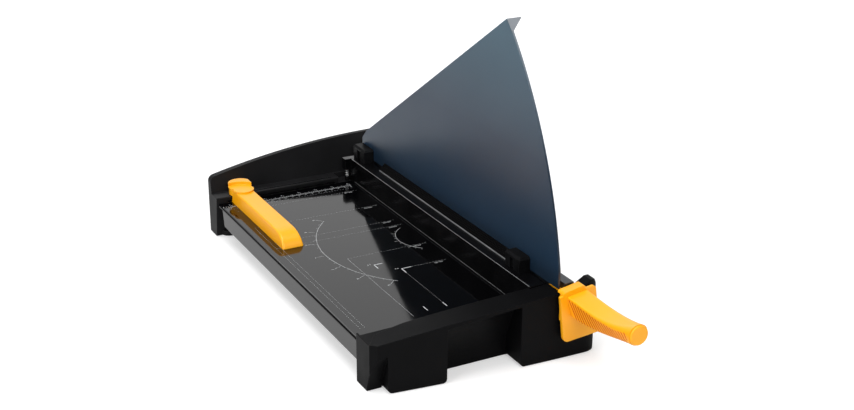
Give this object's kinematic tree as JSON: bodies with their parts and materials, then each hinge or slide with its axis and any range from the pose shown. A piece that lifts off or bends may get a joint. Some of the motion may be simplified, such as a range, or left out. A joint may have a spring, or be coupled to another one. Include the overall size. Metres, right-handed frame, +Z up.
{
  "type": "guillotine paper trimmer",
  "caption": "Desktop lever guillotine: black folded board with paper grid, yellow handle arm, spring clamp bar with smoked finger guard and sliding yellow side gauge.",
  "frame": {"origin": "On the bench, at the centre of the front right rubber foot, straight below the point where the cutting edge meets the front paper stop.", "axes": "+X from the paper side to the blade side, +Y from the handle to the rear hinge along the cutting edge, +Z up."},
  "size_m": [0.282, 0.672, 0.371],
  "materials": {
    "board_enamel": "gloss black powder coat",
    "black_abs": "satin black ABS",
    "zinc_steel": "zinc plated steel",
    "blade_steel": "ground tool steel",
    "screw_steel": "blackened steel",
    "foot_rubber": "moulded rubber",
    "bar_enamel": "black anodised extrusion",
    "guard_smoke": "smoked clear acrylic",
    "clip_abs": "satin black ABS",
    "spring_steel": "spring steel",
    "arm_metal": "die cast aluminium, black sides",
    "bronze": "sintered bronze",
    "yellow_abs": "yellow ABS"
  },
  "bodies": {
    "base": {"base_tray": "board_enamel", "blade_beam": "zinc_steel", "cross_ribs": "zinc_steel", "lower_blade": "blade_steel", "lower_blade_screws": "screw_steel", "front_cap": "black_abs", "rear_cap": "black_abs", "cap_screws": "zinc_steel", "foot_pads": "foot_rubber", "pivot_bracket": "zinc_steel", "bracket_screws": "screw_steel", "pivot_bolt": "zinc_steel", "pivot_spring": "spring_steel", "pivot_nut": "zinc_steel", "arm_bumper": "foot_rubber", "clamp_posts": "zinc_steel", "front_clamp_spring": "spring_steel", "rear_clamp_spring": "spring_steel"},
    "clamp": {"clamp_bar": "bar_enamel", "clamp_pad": "foot_rubber", "clamp_grip": "clip_abs", "front_guard_clip": "clip_abs", "rear_guard_clip": "clip_abs", "guard_sheet": "guard_smoke", "guard_screws": "screw_steel"},
    "arm": {"arm_bar": "arm_metal", "upper_blade": "blade_steel", "upper_blade_screws": "screw_steel", "pivot_bush": "bronze", "handle": "yellow_abs", "handle_grip": "yellow_abs", "handle_end_cap": "yellow_abs", "grip_bolt": "zinc_steel"},
    "gauge": {"gauge_bar": "yellow_abs", "gauge_bolt": "zinc_steel"},
    "knob": {"gauge_knob": "yellow_abs"}
  },
  "joints": [
    {"name": "arm_pivot", "type": "hinge", "parent": "base", "child": "arm", "pos_m": [0, 0.462, 0.071], "axis": [-1, 0, 0], "range_deg": [0, 33]},
    {"name": "clamp_slide", "type": "slide", "parent": "base", "child": "clamp", "axis": [0, 0, 1], "range_m": [0, 0.006], "deforming": ["front_clamp_spring", "rear_clamp_spring"]},
    {"name": "gauge_slide", "type": "slide", "parent": "base", "child": "gauge", "axis": [1, 0, 0], "range_m": [-0.012, 0.125]},
    {"name": "gauge_lock", "type": "hinge", "parent": "gauge", "child": "knob", "pos_m": [-0.1955, 0.4635, 0.0691], "axis": [0, 0, 1], "range_deg": [0, 90]}
  ],
  "couplings": [
    {"joint": "clamp_slide", "follows": "arm_pivot", "m_per_rad": 0.0104}
  ]
}
